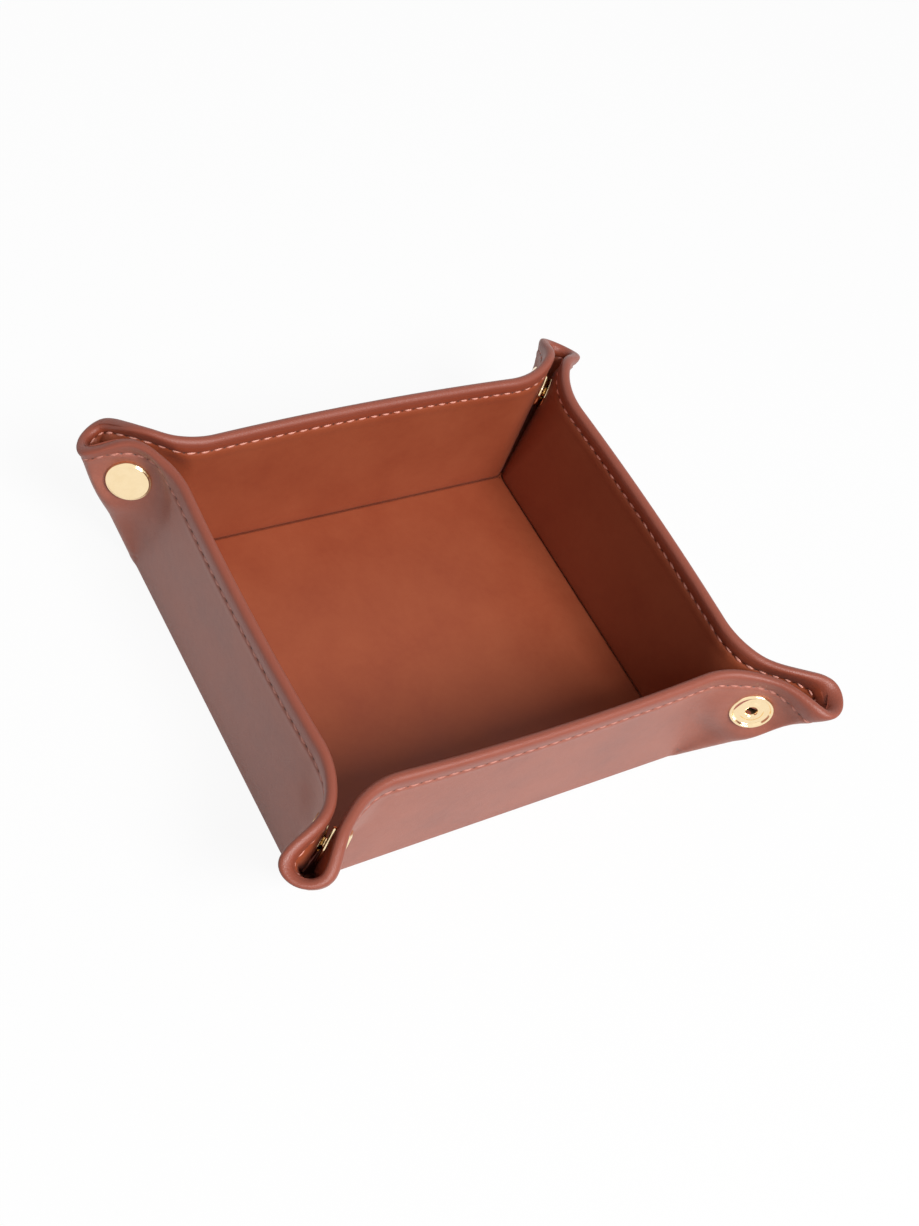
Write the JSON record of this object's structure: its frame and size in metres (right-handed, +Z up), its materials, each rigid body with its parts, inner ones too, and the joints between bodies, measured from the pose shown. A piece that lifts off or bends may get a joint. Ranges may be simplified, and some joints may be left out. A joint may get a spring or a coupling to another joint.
{
  "type": "valet tray",
  "caption": "Rectangular leather valet tray whose walls are pinched into eared corners by press studs and unsnap to lie flat.",
  "frame": {"origin": "middle of the underside", "axes": "+X along the long side, +Z up, the front wall on the -Y side"},
  "size_m": [0.1686, 0.1486, 0.048],
  "materials": {
    "outer_leather": "fine grained, soft sheen",
    "lining_leather": "smooth, satin",
    "card": "grey-brown pressed card",
    "stud_metal": "polished pale gold"
  },
  "bodies": {
    "base": {"base_outer_leather": "outer_leather", "base_board": "card", "base_lining": "lining_leather"},
    "front_wall": {"front_wall_outer_leather": "outer_leather", "front_wall_stiffener": "card", "front_wall_lining": "lining_leather"},
    "front_ear_by_right": {"front_ear_by_right_outer_leather": "outer_leather", "front_ear_by_right_lining": "lining_leather", "front_snap_stud": "stud_metal", "front_snap_post_back": "stud_metal"},
    "front_ear_by_left": {"front_ear_by_left_outer_leather": "outer_leather", "front_ear_by_left_lining": "lining_leather", "front_snap_socket": "stud_metal", "front_snap_cap": "stud_metal"},
    "right_wall": {"right_wall_outer_leather": "outer_leather", "right_wall_stiffener": "card", "right_wall_lining": "lining_leather"},
    "right_ear_by_back": {"right_ear_by_back_outer_leather": "outer_leather", "right_ear_by_back_lining": "lining_leather", "right_snap_stud": "stud_metal", "right_snap_post_back": "stud_metal"},
    "right_ear_by_front": {"right_ear_by_front_outer_leather": "outer_leather", "right_ear_by_front_lining": "lining_leather", "right_snap_socket": "stud_metal", "right_snap_cap": "stud_metal"},
    "back_wall": {"back_wall_outer_leather": "outer_leather", "back_wall_stiffener": "card", "back_wall_lining": "lining_leather"},
    "back_ear_by_left": {"back_ear_by_left_outer_leather": "outer_leather", "back_ear_by_left_lining": "lining_leather", "back_snap_stud": "stud_metal", "back_snap_post_back": "stud_metal"},
    "back_ear_by_right": {"back_ear_by_right_outer_leather": "outer_leather", "back_ear_by_right_lining": "lining_leather", "back_snap_socket": "stud_metal", "back_snap_cap": "stud_metal"},
    "left_wall": {"left_wall_outer_leather": "outer_leather", "left_wall_stiffener": "card", "left_wall_lining": "lining_leather"},
    "left_ear_by_front": {"left_ear_by_front_outer_leather": "outer_leather", "left_ear_by_front_lining": "lining_leather", "left_snap_stud": "stud_metal", "left_snap_post_back": "stud_metal"},
    "left_ear_by_back": {"left_ear_by_back_outer_leather": "outer_leather", "left_ear_by_back_lining": "lining_leather", "left_snap_socket": "stud_metal", "left_snap_cap": "stud_metal"}
  },
  "joints": [
    {"name": "front_wall_fold", "type": "hinge", "parent": "base", "child": "front_wall", "pos_m": [0, -0.055, 0], "axis": [1, 0, 0], "range_deg": [0, 83.5]},
    {"name": "front_ear_by_right_swing", "type": "hinge", "parent": "front_wall", "child": "front_ear_by_right", "pos_m": [0.0616, -0.0538, 0], "axis": [0, 0.3387, 0.9409], "range_deg": [0, 42.59]},
    {"name": "front_ear_by_left_swing", "type": "hinge", "parent": "front_wall", "child": "front_ear_by_left", "pos_m": [-0.0616, -0.0538, 0], "axis": [0, -0.3387, -0.9409], "range_deg": [0, 42.59]},
    {"name": "right_wall_fold", "type": "hinge", "parent": "base", "child": "right_wall", "pos_m": [0.065, 0, 0], "axis": [0, 1, 0], "range_deg": [0, 83.5]},
    {"name": "right_ear_by_back_swing", "type": "hinge", "parent": "right_wall", "child": "right_ear_by_back", "pos_m": [0.0638, 0.0516, 0], "axis": [-0.3387, 0, 0.9409], "range_deg": [0, 42.59]},
    {"name": "right_ear_by_front_swing", "type": "hinge", "parent": "right_wall", "child": "right_ear_by_front", "pos_m": [0.0638, -0.0516, 0], "axis": [0.3387, 0, -0.9409], "range_deg": [0, 42.59]},
    {"name": "back_wall_fold", "type": "hinge", "parent": "base", "child": "back_wall", "pos_m": [0, 0.055, 0], "axis": [-1, 0, 0], "range_deg": [0, 83.5]},
    {"name": "back_ear_by_left_swing", "type": "hinge", "parent": "back_wall", "child": "back_ear_by_left", "pos_m": [-0.0616, 0.0538, 0], "axis": [0, -0.3387, 0.9409], "range_deg": [0, 42.59]},
    {"name": "back_ear_by_right_swing", "type": "hinge", "parent": "back_wall", "child": "back_ear_by_right", "pos_m": [0.0616, 0.0538, 0], "axis": [0, 0.3387, -0.9409], "range_deg": [0, 42.59]},
    {"name": "left_wall_fold", "type": "hinge", "parent": "base", "child": "left_wall", "pos_m": [-0.065, 0, 0], "axis": [0, -1, 0], "range_deg": [0, 83.5]},
    {"name": "left_ear_by_front_swing", "type": "hinge", "parent": "left_wall", "child": "left_ear_by_front", "pos_m": [-0.0638, -0.0516, 0], "axis": [0.3387, 0, 0.9409], "range_deg": [0, 42.59]},
    {"name": "left_ear_by_back_swing", "type": "hinge", "parent": "left_wall", "child": "left_ear_by_back", "pos_m": [-0.0638, 0.0516, 0], "axis": [-0.3387, 0, -0.9409], "range_deg": [0, 42.59]}
  ],
  "couplings": [
    {"joint": "front_ear_by_right_swing", "follows": "front_wall_fold", "ratio": 0.51},
    {"joint": "front_ear_by_left_swing", "follows": "front_wall_fold", "ratio": 0.51},
    {"joint": "right_wall_fold", "follows": "front_wall_fold", "ratio": 1},
    {"joint": "right_ear_by_back_swing", "follows": "front_wall_fold", "ratio": 0.51},
    {"joint": "right_ear_by_front_swing", "follows": "front_wall_fold", "ratio": 0.51},
    {"joint": "back_wall_fold", "follows": "front_wall_fold", "ratio": 1},
    {"joint": "back_ear_by_left_swing", "follows": "front_wall_fold", "ratio": 0.51},
    {"joint": "back_ear_by_right_swing", "follows": "front_wall_fold", "ratio": 0.51},
    {"joint": "left_wall_fold", "follows": "front_wall_fold", "ratio": 1},
    {"joint": "left_ear_by_front_swing", "follows": "front_wall_fold", "ratio": 0.51},
    {"joint": "left_ear_by_back_swing", "follows": "front_wall_fold", "ratio": 0.51}
  ]
}
